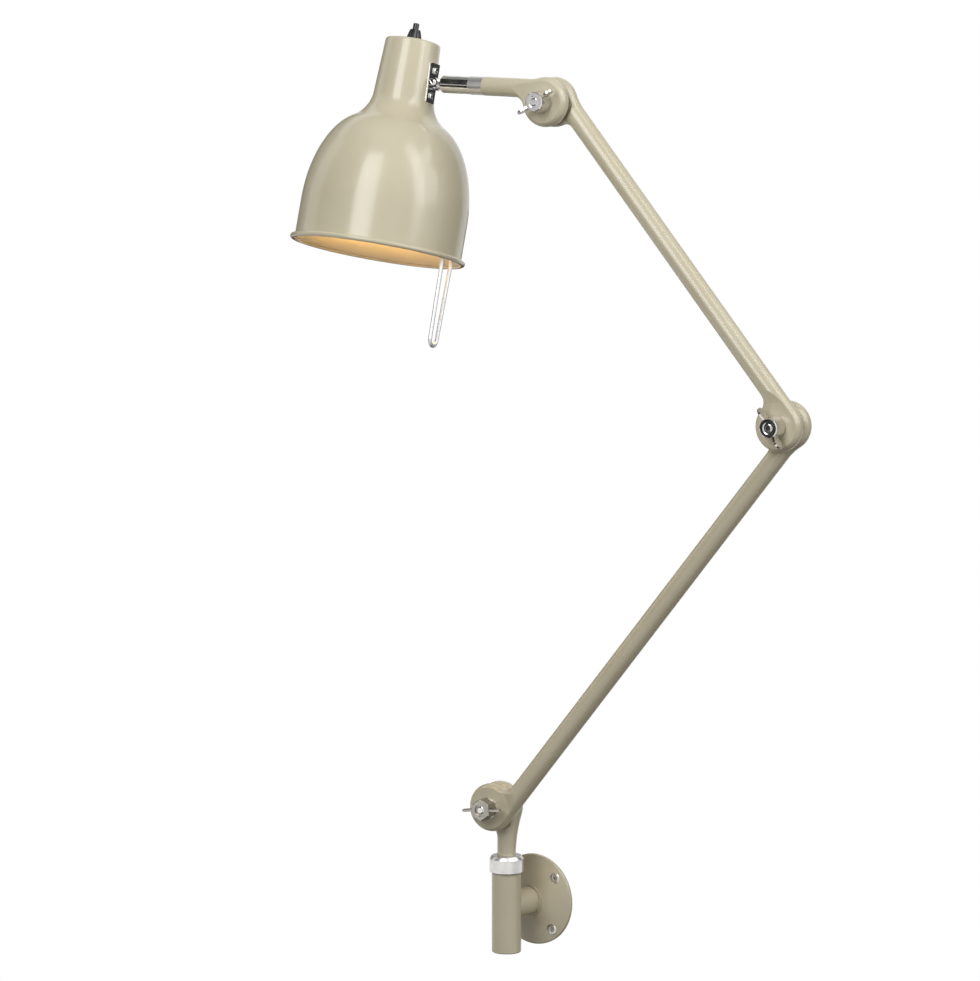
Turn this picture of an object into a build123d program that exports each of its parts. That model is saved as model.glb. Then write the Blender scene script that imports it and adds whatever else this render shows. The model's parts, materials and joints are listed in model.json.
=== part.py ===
"""Two-arm wall lamp with a bell shade, an assembly of separate pieces.

Millimetres and degrees. The origin is the centre of the wall plate's back face, the wall is the plane
y = 0, the lamp stands out along -Y and +Z is up. The arms turn in one upright plane, the arm plane.
"""

import os
from math import acos, asin, cos, degrees, hypot, radians, sin, sqrt

from build123d import *

os.makedirs("parts", exist_ok=True)

# Pose of the arms and the shade
column_swivel = 5.5
lower_arm_angle = 50.3
upper_arm_angle = 129.0
head_arm_angle = 177.6
head_swivel = 12.0
shade_tilt = 1.6

# Fits
running_clearance = 0.05
seat_clearance = 0.05
loose_clearance = 0.3

# Wall plate
plate_dia = 70.6
plate_edge = 2.6
plate_height = 8.6
collar_dia = 24.6
collar_height = 9.8
plate_seat_width = 11.5
plate_recess = 4.5
plate_screw_pcd = 57.0
plate_screw_count = 4
plate_screw_angle = 41.0
plate_screw_hole_dia = 4.5
plate_screw_sink_dia = 8.4

# Stub and column
stub_dia = 21.4
stub_bore = 15.0
column_offset = 37.5
column_dia = 22.6
column_bore = 17.0
column_foot = -35.8
column_top = 36.0
column_neck_dia = 19.6
column_edge = 1.2
bush_length = 15.0
lower_bush_top = -9.0
cable_bush_length = 5.0
cable_hole_dia = 7.0

# Lock ring
ring_dia = 26.2
ring_foot = 26.6
ring_height = 10.8
ring_bevel = 2.4
ring_crown_dia = 22.4

# Base knuckle
stem_dia = 14.0
stem_collar_dia = 16.8
stem_collar = 2.0
stem_tail = 3.0
stem_bore = 7.0
clip_thickness = 1.2
clip_depth = 1.0
knuckle_offset = 5.0
base_pivot_height = 78.3
knuckle_blend = 9.0
knuckle_taper = 110.0

# Arms
lower_arm_length = 394.5
upper_arm_length = 301.0
lower_base_offset = 10.9
lower_elbow_offset = 7.9
upper_elbow_offset = 10.9
upper_shoulder_offset = 7.7
arm_tube_dia = 15.0
arm_tube_wall = 1.5
lug_dia = 37.0
lug_thickness = 11.6
lug_neck = 34.0
lug_blend = 8.0
lug_outer_blend = 40.0
lug_ramp = 9.0
spigot_length = 14.0

# Pivot hardware
bolt_dia = 6.0
bolt_head_dia = 16.0
bolt_head = 3.4
bolt_square = 6.0
bolt_square_depth = 4.0
bolt_tip = 1.5
friction_washer_dia = 31.0
friction_washer = 1.5
front_washer_dia = 15.6
front_washer = 1.2

# Wing nuts
nut_hub_dia = 16.4
nut_hub_crown_dia = 14.4
nut_hub = 11.0
nut_hex = 14.8
nut_edge = 0.6
nut_dish_dia = 9.0
nut_dish = 1.2
nut_span = 33.4
nut_wing = 1.6
nut_wing_root = 3.0
nut_wing_rise = 12.5
nut_wing_tip = 4.0
base_nut_angle = 185.0
elbow_nut_angle = 122.0
shoulder_nut_angle = 31.0

# Head arm and swivel
head_tube_dia = 14.0
head_tube_wall = 1.5
head_lug_neck = 30.0
head_spigot_length = 9.0
head_offset = 9.5
head_reach = 96.8
swivel_collar_length = 12.0
swivel_collar_dia = 13.7
swivel_sleeve_dia = 13.2
swivel_sleeve_length = 26.0
swivel_sleeve_chamfer = 2.0
swivel_journal_dia = 8.0
swivel_journal_length = 18.0
swivel_wire_dia = 4.0
grub_dia = 3.0
grub_from_end = 6.0

# Tilt bracket
pin_to_sleeve = 5.8
pin_to_plate = 2.3
pin_dia = 3.0
tongue_thickness = 4.8
tongue_height = 6.4
ear_radius = 4.3
ear_thickness = 3.0
ear_play = 0.1
bracket_plate = 1.2
bracket_width = 11.0
bracket_height = 30.0
bracket_screw_pitch = 19.0
bracket_screw_dia = 3.0
bracket_screw_head_dia = 5.0
bracket_screw_head = 1.3
tilt_head_dia = 5.4
tilt_head = 1.6
tilt_nut_size = 5.5
tilt_nut = 2.4

# Shade
shade_wall = 1.2
neck_top_dia = 41.8
neck_foot_dia = 46.2
neck_length = 41.0
neck_edge = 2.2
bell_dia = 126.8
bell_start = 131.5
bell_crown_radius = 41.0
bell_crown_height = 72.5
bell_blend = 25.0
rim_depth = 160.5
rim_bead_dia = 3.8
rim_dia = 133.4
pin_depth = 30.7

# Lampholder and lamp
strap_width = 12.0
strap_thickness = 1.4
strap_depth = 16.0
strap_length = 31.0
strap_tail = 8.0
nipple_dia = 10.0
nipple_bore = 6.0
nipple_flange = 2.2
nipple_flange_dia = 14.0
nipple_grip = 6.0
holder_dia = 36.0
holder_length = 38.0
holder_crown = 9.0
socket_dia = 28.0
lamp_cap_dia = 26.4
lamp_tip_dia = 9.0
lamp_tip = 2.4
lamp_neck_dia = 29.0
lamp_dia = 60.0
lamp_glass_length = 84.0
lamp_glass_wall = 1.2

# Switch
switch_bush_dia = 8.0
switch_bush_height = 4.6
switch_body_width = 14.0
switch_body_depth = 12.0
switch_body_height = 11.5
switch_nut_dia = 13.0
switch_nut_crown_dia = 8.0
switch_nut_height = 8.8
plunger_dia = 4.6
plunger_height = 5.0
plunger_depth = 5.0
plunger_travel = 2.5

# Guide loop
loop_wire = 3.0
loop_radius = 59.8
loop_turn = 4.0
loop_spread = 16.4
loop_bend = 10.6
loop_top = 127.0
loop_bottom = 227.0
clip_height = 13.0
clip_side = 3.0
clip_cover = 1.6
clip_top = 130.0

# Frames
wall_frame = Plane(origin=(0, 0, 0), x_dir=(1, 0, 0), z_dir=(0, -1, 0))
column_frame = Plane(origin=(0, -column_offset, 0), x_dir=(1, 0, 0), z_dir=(0, 0, 1))
swivel = radians(column_swivel)
arm_plane = Plane(
    origin=column_frame.origin,
    x_dir=(cos(swivel), sin(swivel), 0),
    z_dir=(sin(swivel), -cos(swivel), 0),
)


def along(angle):
    """Unit vector in the arm plane, counted from the plane's level direction."""
    return Vector(cos(radians(angle)), sin(radians(angle)), 0)


def turned(frame, direction, angle):
    """Frame turned about a line through its origin."""
    line = Axis((0, 0, 0), direction)
    return Plane(
        origin=frame.origin, x_dir=frame.x_dir.rotate(line, angle), z_dir=frame.z_dir.rotate(line, angle)
    )


def pivot_frame(pivot, layer, angle):
    """Frame at a pivot of the arm plane: x along the arm, z along the pivot, out of the wall."""
    level = Plane(
        origin=arm_plane.from_local_coords(Vector(pivot.X, pivot.Y, layer)),
        x_dir=arm_plane.x_dir,
        z_dir=arm_plane.z_dir,
    )
    return turned(level, level.z_dir, angle)


def opposite(frame):
    """The same frame turned half round, so that x and z run back."""
    return Plane(origin=frame.origin, x_dir=-frame.x_dir, z_dir=-frame.z_dir)


def side_of(frame):
    """Profile plane of a turned piece: x is the radius and y runs along the frame's z."""
    return Plane(origin=frame.origin, x_dir=frame.x_dir, z_dir=-frame.y_dir)


def end_of(frame, distance, across=0.0):
    """Section plane square to the frame's x, at a distance along it."""
    return Plane(
        origin=frame.from_local_coords(Vector(distance, across, 0)), x_dir=frame.y_dir, z_dir=frame.x_dir
    )


def axis_of(frame):
    return Axis(frame.origin, frame.z_dir)


def turned_piece(frame, profile):
    """Solid of revolution about the frame's z from (radius, height) corners."""
    with BuildPart() as piece:
        with BuildSketch(side_of(frame)):
            with BuildLine():
                Polyline(*profile, close=True)
            make_face()
        revolve(axis=axis_of(frame))
    return piece.part


def keep(part, name):
    """Label a finished piece and write it to its own file."""
    part.label = name
    export_step(part, f"parts/{name}.step")


# Layers of the arm plane, counted from the column's axis
lug_pitch = lug_thickness + friction_washer
base_pivot = Vector(-knuckle_offset, base_pivot_height, 0)
elbow_pivot = base_pivot + along(lower_arm_angle) * lower_arm_length
shoulder_pivot = elbow_pivot + along(upper_arm_angle) * upper_arm_length

# The knuckle's frame points down its stem, with z towards the wall
knuckle_frame = opposite(pivot_frame(base_pivot, 0, 90))

# The arms' frames follow their tubes, which lie beside the line of the pivots
lower_tube_angle = lower_arm_angle + degrees(
    asin((lower_base_offset - lower_elbow_offset) / lower_arm_length)
)
upper_tube_angle = upper_arm_angle + degrees(
    asin((upper_elbow_offset - upper_shoulder_offset) / upper_arm_length)
)
lower_frame = pivot_frame(base_pivot, lug_pitch, lower_tube_angle)
lower_end = opposite(pivot_frame(elbow_pivot, lug_pitch, lower_tube_angle))
upper_frame = pivot_frame(elbow_pivot, 2 * lug_pitch, upper_tube_angle)
upper_end = opposite(pivot_frame(shoulder_pivot, 2 * lug_pitch, upper_tube_angle))
head_frame = pivot_frame(shoulder_pivot, 3 * lug_pitch, head_arm_angle)

lug_radius = lug_dia / 2

# The sleeve's frame has its origin on the tilt pin, x out along the head arm and z along the pin
straight_frame = Plane(
    origin=head_frame.from_local_coords(Vector(head_reach, -head_offset, 0)),
    x_dir=head_frame.x_dir,
    z_dir=-head_frame.z_dir,
)
sleeve_frame = turned(straight_frame, straight_frame.x_dir, head_swivel)
tilt_frame = turned(sleeve_frame, sleeve_frame.z_dir, shade_tilt)


def neck_radius(depth):
    """Outer radius of the shade's neck at a depth below its top."""
    return neck_top_dia / 2 + (neck_foot_dia - neck_top_dia) / 2 * depth / neck_length


# The shade's frame stands on its top, z up its axis and x towards the bracket
bracket_face = neck_radius(pin_depth) + bracket_plate
pin_radius = bracket_face + pin_to_plate
shade_frame = Plane(
    origin=tilt_frame.from_local_coords(Vector(pin_radius, pin_depth, 0)),
    x_dir=-tilt_frame.x_dir,
    z_dir=tilt_frame.y_dir,
)

# Wall plate: a domed disc with a collar, hollow behind, seated on a flat ring with the screw holes
plate_radius = plate_dia / 2
recess_radius = plate_radius - plate_seat_width
with BuildPart() as wall_plate:
    with BuildSketch(side_of(wall_frame)):
        with BuildLine():
            dome_foot = (plate_radius - plate_edge / 2, plate_edge)
            dome_head = (collar_dia / 2, plate_height)
            rim = Line((recess_radius, 0), (plate_radius, 0))
            edge = Line(rim @ 1, (plate_radius, plate_edge / 2))
            round_edge = JernArc(edge @ 1, edge % 1, plate_edge / 2, 70)
            dome = TangentArc(round_edge @ 1, dome_head, tangent=round_edge % 1)
            collar = Polyline(
                dome @ 1,
                (collar_dia / 2, collar_height),
                (stub_dia / 2 + seat_clearance, collar_height),
                (stub_dia / 2 + seat_clearance, plate_recess),
                (recess_radius, plate_recess),
                rim @ 0,
            )
        make_face()
    revolve(axis=axis_of(wall_frame))
    with Locations(wall_frame.offset(plate_edge + plate_edge / 2)):
        with PolarLocations(plate_screw_pcd / 2, plate_screw_count, plate_screw_angle):
            CounterSinkHole(plate_screw_hole_dia / 2, plate_screw_sink_dia / 2)
keep(wall_plate.part, "wall_plate")

# Stub: a tube from the plate's collar to the column, coped to the column's round
with BuildPart() as wall_stub:
    with BuildSketch(wall_frame.offset(plate_recess)):
        Circle(stub_dia / 2)
        Circle(stub_bore / 2, mode=Mode.SUBTRACT)
    extrude(amount=column_offset - plate_recess)
    with BuildSketch(column_frame.offset(-column_dia)):
        Circle(column_dia / 2 + seat_clearance)
    extrude(amount=2 * column_dia, mode=Mode.SUBTRACT)
keep(wall_stub.part, "wall_stub")

# Column: a tube with a rounded foot and a turned-down neck for the lock ring
with BuildPart() as column:
    with BuildSketch(column_frame.offset(column_foot)):
        Circle(column_dia / 2)
    extrude(amount=ring_foot - column_foot)
    fillet(column.edges().sort_by(Axis.Z)[0], column_edge)
    with BuildSketch(column_frame.offset(ring_foot)):
        Circle(column_neck_dia / 2)
    extrude(amount=column_top - ring_foot)
    with BuildSketch(column_frame.offset(column_foot)):
        Circle(column_bore / 2)
    extrude(amount=column_top - column_foot, mode=Mode.SUBTRACT)
keep(column.part, "column")

# Bushes in the column, and the cable's inlet in its foot
bush_outer = column_bore / 2 - seat_clearance
bush_inner = stem_dia / 2 + running_clearance
for name, top in (("upper_bush", column_top), ("lower_bush", lower_bush_top)):
    foot = top - bush_length
    keep(
        turned_piece(
            column_frame, [(bush_inner, foot), (bush_outer, foot), (bush_outer, top), (bush_inner, top)]
        ),
        name,
    )
with BuildPart() as cable_bush:
    with BuildSketch(column_frame.offset(column_foot)):
        Circle(bush_outer)
        Circle(cable_hole_dia / 2, mode=Mode.SUBTRACT)
    extrude(amount=cable_bush_length)
    chamfer(cable_bush.edges().group_by(Axis.Z)[0].sort_by(SortBy.LENGTH)[0], cable_bush_length / 5)
keep(cable_bush.part, "cable_bush")

# Lock ring: screws down over the column's neck and clamps the stem's collar
ring_inner = column_neck_dia / 2 + running_clearance
ring_seat = column_top + stem_collar + seat_clearance
ring_top = ring_foot + ring_height
keep(
    turned_piece(
        column_frame,
        [
            (ring_inner, ring_foot),
            (ring_dia / 2, ring_foot),
            (ring_dia / 2, ring_top),
            (ring_crown_dia / 2, ring_top + ring_bevel),
            (stem_dia / 2 + loose_clearance, ring_top + ring_bevel),
            (stem_dia / 2 + loose_clearance, ring_seat),
            (ring_inner, ring_seat),
        ],
    ),
    "lock_ring",
)


def lug_relief(frame, neck_half):
    """Metal to take off a lug blank: a spot face on the mating side, a ramped face on the other."""
    half_thickness = lug_thickness / 2
    depth = neck_half - half_thickness + seat_clearance
    with BuildPart() as relief:
        with BuildSketch(frame.offset(-half_thickness)):
            Circle(lug_radius + loose_clearance)
        extrude(amount=-depth)
        with BuildSketch(frame.offset(half_thickness)):
            Circle(lug_radius)
        with BuildSketch(frame.offset(half_thickness + depth)):
            Circle(lug_radius + lug_ramp)
        loft()
    return relief.part


def lug_bore(frame, square):
    """Bolt hole to cut, round for a turning lug or with a square seat for the bolt's neck."""
    with BuildPart() as bore:
        with BuildSketch(frame.offset(-lug_thickness)):
            Circle(bolt_dia / 2 + running_clearance)
        extrude(amount=2 * lug_thickness)
        if square:
            side = bolt_square + 2 * seat_clearance
            with BuildSketch(frame.offset(lug_thickness / 2 - bolt_square_depth - seat_clearance)):
                Rectangle(side, side)
            extrude(amount=lug_thickness / 2)
    return bore.part


def round_lug_edges(part, frame, radius):
    """Round both outlines of a lug blank, but not the flat end of its neck."""
    run = Axis(frame.origin, frame.x_dir)
    levels = part.edges().group_by(axis_of(frame))
    fillet(levels[0].sort_by(run)[:-1] + levels[-1].sort_by(run)[:-1], radius)


def arm_lug(frame, offset, tube_dia, tube_wall, neck, spigot, square):
    """Cast lug: a disc on the pivot whose neck leaves it along one side and plugs into the tube."""
    tube_radius = tube_dia / 2
    inner = tube_radius - offset
    outer = -tube_radius - offset
    inner_reach = lug_radius + lug_blend
    outer_reach = lug_radius + lug_outer_blend
    inner_angle = asin((inner + lug_blend) / inner_reach)
    outer_angle = asin((outer - lug_outer_blend) / outer_reach)
    inner_x = inner_reach * cos(inner_angle)
    outer_x = outer_reach * cos(outer_angle)
    inner_turn = degrees(inner_angle)
    outer_turn = degrees(outer_angle)
    with BuildPart() as lug:
        with BuildSketch(frame.offset(-tube_radius)):
            with BuildLine():
                CenterArc((0, 0), lug_radius, inner_turn, 360 + outer_turn - inner_turn)
                CenterArc((inner_x, inner + lug_blend), lug_blend, 180 + inner_turn, 90 - inner_turn)
                CenterArc((outer_x, outer - lug_outer_blend), lug_outer_blend, 90, 90 + outer_turn)
                Polyline((inner_x, inner), (neck, inner), (neck, outer), (outer_x, outer))
            make_face()
        extrude(amount=tube_dia)
        round_lug_edges(lug, frame, tube_radius - seat_clearance * 4)
        add(lug_relief(frame, tube_radius), mode=Mode.SUBTRACT)
        with BuildSketch(end_of(frame, neck, -offset)):
            Circle(tube_radius - tube_wall - seat_clearance)
        extrude(amount=spigot)
        add(lug_bore(frame, square), mode=Mode.SUBTRACT)
    return lug.part


def arm_tube(frame, offset, tube_dia, tube_wall, start, end):
    """Tube along the arm, beside the line of its pivots."""
    with BuildPart() as tube:
        with BuildSketch(end_of(frame, start, -offset)):
            Circle(tube_dia / 2)
            Circle(tube_dia / 2 - tube_wall, mode=Mode.SUBTRACT)
        extrude(amount=end - start)
    return tube.part


# Base knuckle: a disc lug on a stem with a collar and a journal that turns in the column
stem_radius = stem_dia / 2
bush_foot = lower_bush_top - bush_length
clip_foot = bush_foot - clip_thickness
knuckle_neck = base_pivot_height - column_top

# The taper's arc meets the stem's side above the column's top, so the neck limits its radius
stem_side = knuckle_offset + stem_radius
taper_reach = knuckle_neck - loose_clearance
taper_room = (taper_reach**2 + stem_side**2 - lug_radius**2) / (2 * (lug_radius - stem_side))
with BuildPart() as base_knuckle:
    with BuildSketch(knuckle_frame.offset(-stem_radius)) as outline:
        Circle(lug_radius)
        with Locations((knuckle_neck / 2, -knuckle_offset)):
            Rectangle(knuckle_neck, stem_dia)
        corners = outline.vertices().sort_by(Axis.X)[:2].sort_by(Axis.Y)
        fillet(corners[1], knuckle_blend)
        fillet(outline.vertices().sort_by_distance(corners[0])[0], min(knuckle_taper, taper_room))
    extrude(amount=stem_dia)
    round_lug_edges(base_knuckle, knuckle_frame, stem_radius - seat_clearance * 4)
    add(lug_relief(knuckle_frame, stem_radius), mode=Mode.SUBTRACT)
    add(lug_bore(knuckle_frame, square=True), mode=Mode.SUBTRACT)
    with BuildSketch(side_of(column_frame)):
        with BuildLine():
            Polyline(
                (0, clip_foot - stem_tail),
                (stem_radius, clip_foot - stem_tail),
                (stem_radius, clip_foot),
                (stem_radius - clip_depth, clip_foot),
                (stem_radius - clip_depth, bush_foot),
                (stem_radius, bush_foot),
                (stem_radius, column_top),
                (stem_collar_dia / 2, column_top),
                (stem_collar_dia / 2, column_top + stem_collar),
                (0, column_top + stem_collar),
                close=True,
            )
        make_face()
    revolve(axis=axis_of(column_frame))
    with BuildSketch(column_frame.offset(clip_foot - stem_tail)):
        Circle(stem_bore / 2)
    extrude(amount=column_top + stem_collar - clip_foot + stem_tail, mode=Mode.SUBTRACT)
keep(base_knuckle.part, "base_knuckle")

# Clip in the groove of the journal, open on one side
clip_outer = column_bore / 2 - loose_clearance
with BuildPart() as stem_clip:
    with BuildSketch(column_frame.offset(clip_foot)):
        Circle(clip_outer)
        Circle(stem_radius - clip_depth + seat_clearance, mode=Mode.SUBTRACT)
        with Locations((clip_outer, 0)):
            Rectangle(2 * clip_outer, stem_radius, mode=Mode.SUBTRACT)
    extrude(amount=clip_thickness)
keep(stem_clip.part, "stem_clip")

# Arms: two cast lugs and a tube each
arms = (
    ("lower_arm", "base", "elbow", lower_frame, lower_end, lower_base_offset, lower_elbow_offset),
    ("upper_arm", "elbow", "shoulder", upper_frame, upper_end, upper_elbow_offset, upper_shoulder_offset),
)
for arm, near, far, frame, end, near_offset, far_offset in arms:
    tube_end = frame.to_local_coords(end.origin).X - lug_neck
    keep(
        arm_lug(frame, near_offset, arm_tube_dia, arm_tube_wall, lug_neck, spigot_length, square=False),
        f"{arm}_{near}_lug",
    )
    keep(arm_tube(frame, near_offset, arm_tube_dia, arm_tube_wall, lug_neck, tube_end), f"{arm}_tube")
    keep(
        arm_lug(end, far_offset, arm_tube_dia, arm_tube_wall, lug_neck, spigot_length, square=True),
        f"{arm}_{far}_lug",
    )

# Head arm: a lug and a short tube
collar_end = head_reach - pin_to_sleeve - swivel_sleeve_length
collar_start = collar_end - swivel_collar_length
head_arm_lug = arm_lug(
    head_frame, head_offset, head_tube_dia, head_tube_wall, head_lug_neck, head_spigot_length, square=False
)
keep(head_arm_lug, "head_arm_lug")
keep(
    arm_tube(head_frame, head_offset, head_tube_dia, head_tube_wall, head_lug_neck, collar_start),
    "head_arm_tube",
)

# Pivot hardware. Only the nut at the base has a six-sided hub. Heights count from the middle of the rear lug
rear_face = -lug_thickness / 2
parting_face = lug_thickness / 2
front_face = lug_pitch + lug_thickness / 2
nut_seat = front_face + front_washer
nut_top = nut_seat + nut_hub
bolt_radius = bolt_dia / 2
hole_radius = bolt_radius + running_clearance


def flat_washer(frame, outer_dia, foot, thickness):
    """Plain washer on the bolt."""
    top = foot + thickness
    outer = outer_dia / 2
    return turned_piece(frame, [(hole_radius, foot), (outer, foot), (outer, top), (hole_radius, top)])


def pivot_bolt(frame):
    """Bolt with a domed head and a square neck that keeps it from turning."""
    with BuildPart() as bolt:
        with BuildSketch(side_of(frame)):
            with BuildLine():
                ThreePointArc(
                    (0, rear_face - bolt_head),
                    (bolt_head_dia / 3, rear_face - bolt_head * 2 / 3),
                    (bolt_head_dia / 2, rear_face),
                )
                Polyline(
                    (bolt_head_dia / 2, rear_face),
                    (bolt_radius, rear_face),
                    (bolt_radius, nut_top - bolt_tip),
                    (bolt_radius - bolt_tip / 2, nut_top),
                    (0, nut_top),
                    (0, rear_face - bolt_head),
                )
            make_face()
        revolve(axis=axis_of(frame))
        with BuildSketch(frame.offset(rear_face)):
            Rectangle(bolt_square, bolt_square)
        extrude(amount=bolt_square_depth)
    return bolt.part


def wing_nut(frame, angle, six_sided):
    """Wing nut: a round or six-sided hub with a bored end and two thin wings that rise outwards."""
    seat = turned(frame, frame.z_dir, angle).offset(nut_seat)
    wing_root = nut_hub_dia / 3
    wing_x = nut_span / 2 - nut_wing_tip
    with BuildPart() as nut:
        if six_sided:
            with BuildSketch(seat):
                RegularPolygon(nut_hex / 2, 6, major_radius=False, rotation=30)
            extrude(amount=nut_hub)
            chamfer(nut.edges().group_by(axis_of(seat))[-1], nut_edge)
        else:
            with BuildSketch(side_of(seat)):
                with BuildLine():
                    Polyline(
                        (0, 0),
                        (nut_hub_dia / 2, 0),
                        (nut_hub_crown_dia / 2, nut_hub - nut_edge),
                        (nut_hub_crown_dia / 2 - nut_edge, nut_hub),
                        (0, nut_hub),
                        close=True,
                    )
                make_face()
            revolve(axis=axis_of(seat))
        with BuildSketch(side_of(seat).offset(-nut_wing / 2)):
            with BuildLine():
                CenterArc((wing_x, nut_wing_rise - nut_wing_tip), nut_wing_tip, 0, 360)
                Line((wing_root, nut_wing_root), (wing_root, nut_hub - nut_dish))
            make_hull()
            mirror(about=Plane.YZ)
        extrude(amount=nut_wing)
        with BuildSketch(seat.offset(nut_hub - nut_dish)):
            Circle(nut_dish_dia / 2)
        extrude(amount=nut_dish, mode=Mode.SUBTRACT)
        with BuildSketch(seat):
            Circle(hole_radius)
        extrude(amount=nut_hub, mode=Mode.SUBTRACT)
    return nut.part


joints = (
    ("base", base_pivot, 0, base_nut_angle, True),
    ("elbow", elbow_pivot, lower_tube_angle, elbow_nut_angle, False),
    ("shoulder", shoulder_pivot, upper_tube_angle, shoulder_nut_angle, False),
)
for rear_layer, (joint, pivot, rear_angle, nut_angle, six_sided) in enumerate(joints):
    frame = pivot_frame(pivot, rear_layer * lug_pitch, 0)
    keep(pivot_bolt(turned(frame, frame.z_dir, rear_angle)), f"{joint}_bolt")
    keep(flat_washer(frame, friction_washer_dia, parting_face, friction_washer), f"{joint}_friction_washer")
    keep(flat_washer(frame, front_washer_dia, front_face, front_washer), f"{joint}_front_washer")
    keep(wing_nut(frame, nut_angle, six_sided), f"{joint}_wing_nut")

# Swivel: a collar plugged into the head arm, whose journal carries the sleeve
swivel_frame = end_of(sleeve_frame, -pin_to_sleeve - swivel_sleeve_length)
journal_radius = swivel_journal_dia / 2
groove_depth = grub_dia / 4
groove_low = grub_from_end - grub_dia / 2 - seat_clearance
groove_high = grub_from_end + grub_dia / 2 + seat_clearance
tube_bore = head_tube_dia / 2 - head_tube_wall
keep(
    turned_piece(
        swivel_frame,
        [
            (swivel_wire_dia / 2, -swivel_collar_length - head_spigot_length),
            (tube_bore - seat_clearance, -swivel_collar_length - head_spigot_length),
            (tube_bore - seat_clearance, -swivel_collar_length),
            (swivel_collar_dia / 2, -swivel_collar_length),
            (swivel_collar_dia / 2, 0),
            (journal_radius, 0),
            (journal_radius, groove_low),
            (journal_radius - groove_depth, groove_low),
            (journal_radius - groove_depth, groove_high),
            (journal_radius, groove_high),
            (journal_radius, swivel_journal_length),
            (swivel_wire_dia / 2, swivel_journal_length),
        ],
    ),
    "swivel_collar",
)

# The grub screw stands under the sleeve and reaches into the journal's groove
grub_frame = Plane(
    origin=swivel_frame.from_local_coords(Vector(0, 0, grub_from_end)),
    x_dir=swivel_frame.z_dir,
    z_dir=-swivel_frame.x_dir,
)
sleeve_bore = journal_radius + running_clearance
sleeve_radius = swivel_sleeve_dia / 2
tongue_reach = pin_to_plate + bracket_plate - loose_clearance
with BuildPart() as swivel_sleeve:
    with BuildSketch(swivel_frame):
        Circle(sleeve_radius)
    extrude(amount=swivel_sleeve_length)
    chamfer(swivel_sleeve.edges().sort_by(axis_of(swivel_frame))[-1], swivel_sleeve_chamfer)
    with BuildSketch(sleeve_frame.offset(-tongue_thickness / 2)):
        with Locations((-pin_to_sleeve / 2 - swivel_sleeve_chamfer / 2, 0)):
            Rectangle(pin_to_sleeve + swivel_sleeve_chamfer, tongue_height)
        Circle(tongue_reach)
    extrude(amount=tongue_thickness)
    with BuildSketch(sleeve_frame.offset(-tongue_thickness)):
        Circle(pin_dia / 2 + running_clearance)
    extrude(amount=2 * tongue_thickness, mode=Mode.SUBTRACT)
    with BuildSketch(swivel_frame):
        Circle(sleeve_bore)
    extrude(amount=swivel_journal_length + loose_clearance, mode=Mode.SUBTRACT)
    with BuildSketch(grub_frame):
        Circle(grub_dia / 2 + seat_clearance)
    extrude(amount=sleeve_radius, mode=Mode.SUBTRACT)
keep(swivel_sleeve.part, "swivel_sleeve")

grub_tip = journal_radius - groove_depth + loose_clearance
with BuildPart() as sleeve_grub_screw:
    with BuildSketch(grub_frame.offset(grub_tip)):
        Circle(grub_dia / 2)
    extrude(amount=sleeve_radius - grub_tip - loose_clearance)
    with BuildSketch(grub_frame.offset(sleeve_radius - loose_clearance)):
        RegularPolygon(grub_dia / 4, 6)
    extrude(amount=-grub_dia / 4, mode=Mode.SUBTRACT)
keep(sleeve_grub_screw.part, "sleeve_grub_screw")

# Form of the shade: a neck that flows into an oval bell
bell_radius = bell_dia / 2
crown_x = bell_radius - bell_crown_radius
neck_foot_depth = bell_start - bell_crown_height


def shade_form(inset, bead=0.0):
    """Solid inside the shade's outer face, or inside a face that lies deeper by the inset."""
    neck_foot = neck_radius(neck_foot_depth) - inset
    crown_radius = bell_crown_radius - inset
    crown_angle = degrees(acos((neck_foot - crown_x) / crown_radius))
    with BuildPart() as form:
        with BuildSketch(side_of(shade_frame)):
            with BuildLine():
                crown = EllipticalCenterArc(
                    (crown_x, -bell_start),
                    crown_radius,
                    bell_crown_height - inset,
                    start_angle=0,
                    arc_size=crown_angle,
                )
                Polyline(
                    crown @ 1,
                    (neck_radius(inset) - inset, -inset),
                    (0, -inset),
                    (0, -rim_depth - inset),
                    (bell_radius - inset, -rim_depth - inset),
                    crown @ 0,
                )
            make_face()
            if bead:
                with Locations((rim_dia / 2 - bead, -rim_depth)):
                    Circle(bead)
        revolve(axis=axis_of(shade_frame))
        rings = form.edges().filter_by(GeomType.CIRCLE)
        fillet(rings.sort_by(axis_of(shade_frame))[-1], neck_edge - inset)
        rings = form.edges().filter_by(GeomType.CIRCLE)
        fillet(rings.sort_by(lambda ring: abs(ring.radius - neck_foot))[0], bell_blend + inset)
    return form.part


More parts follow.
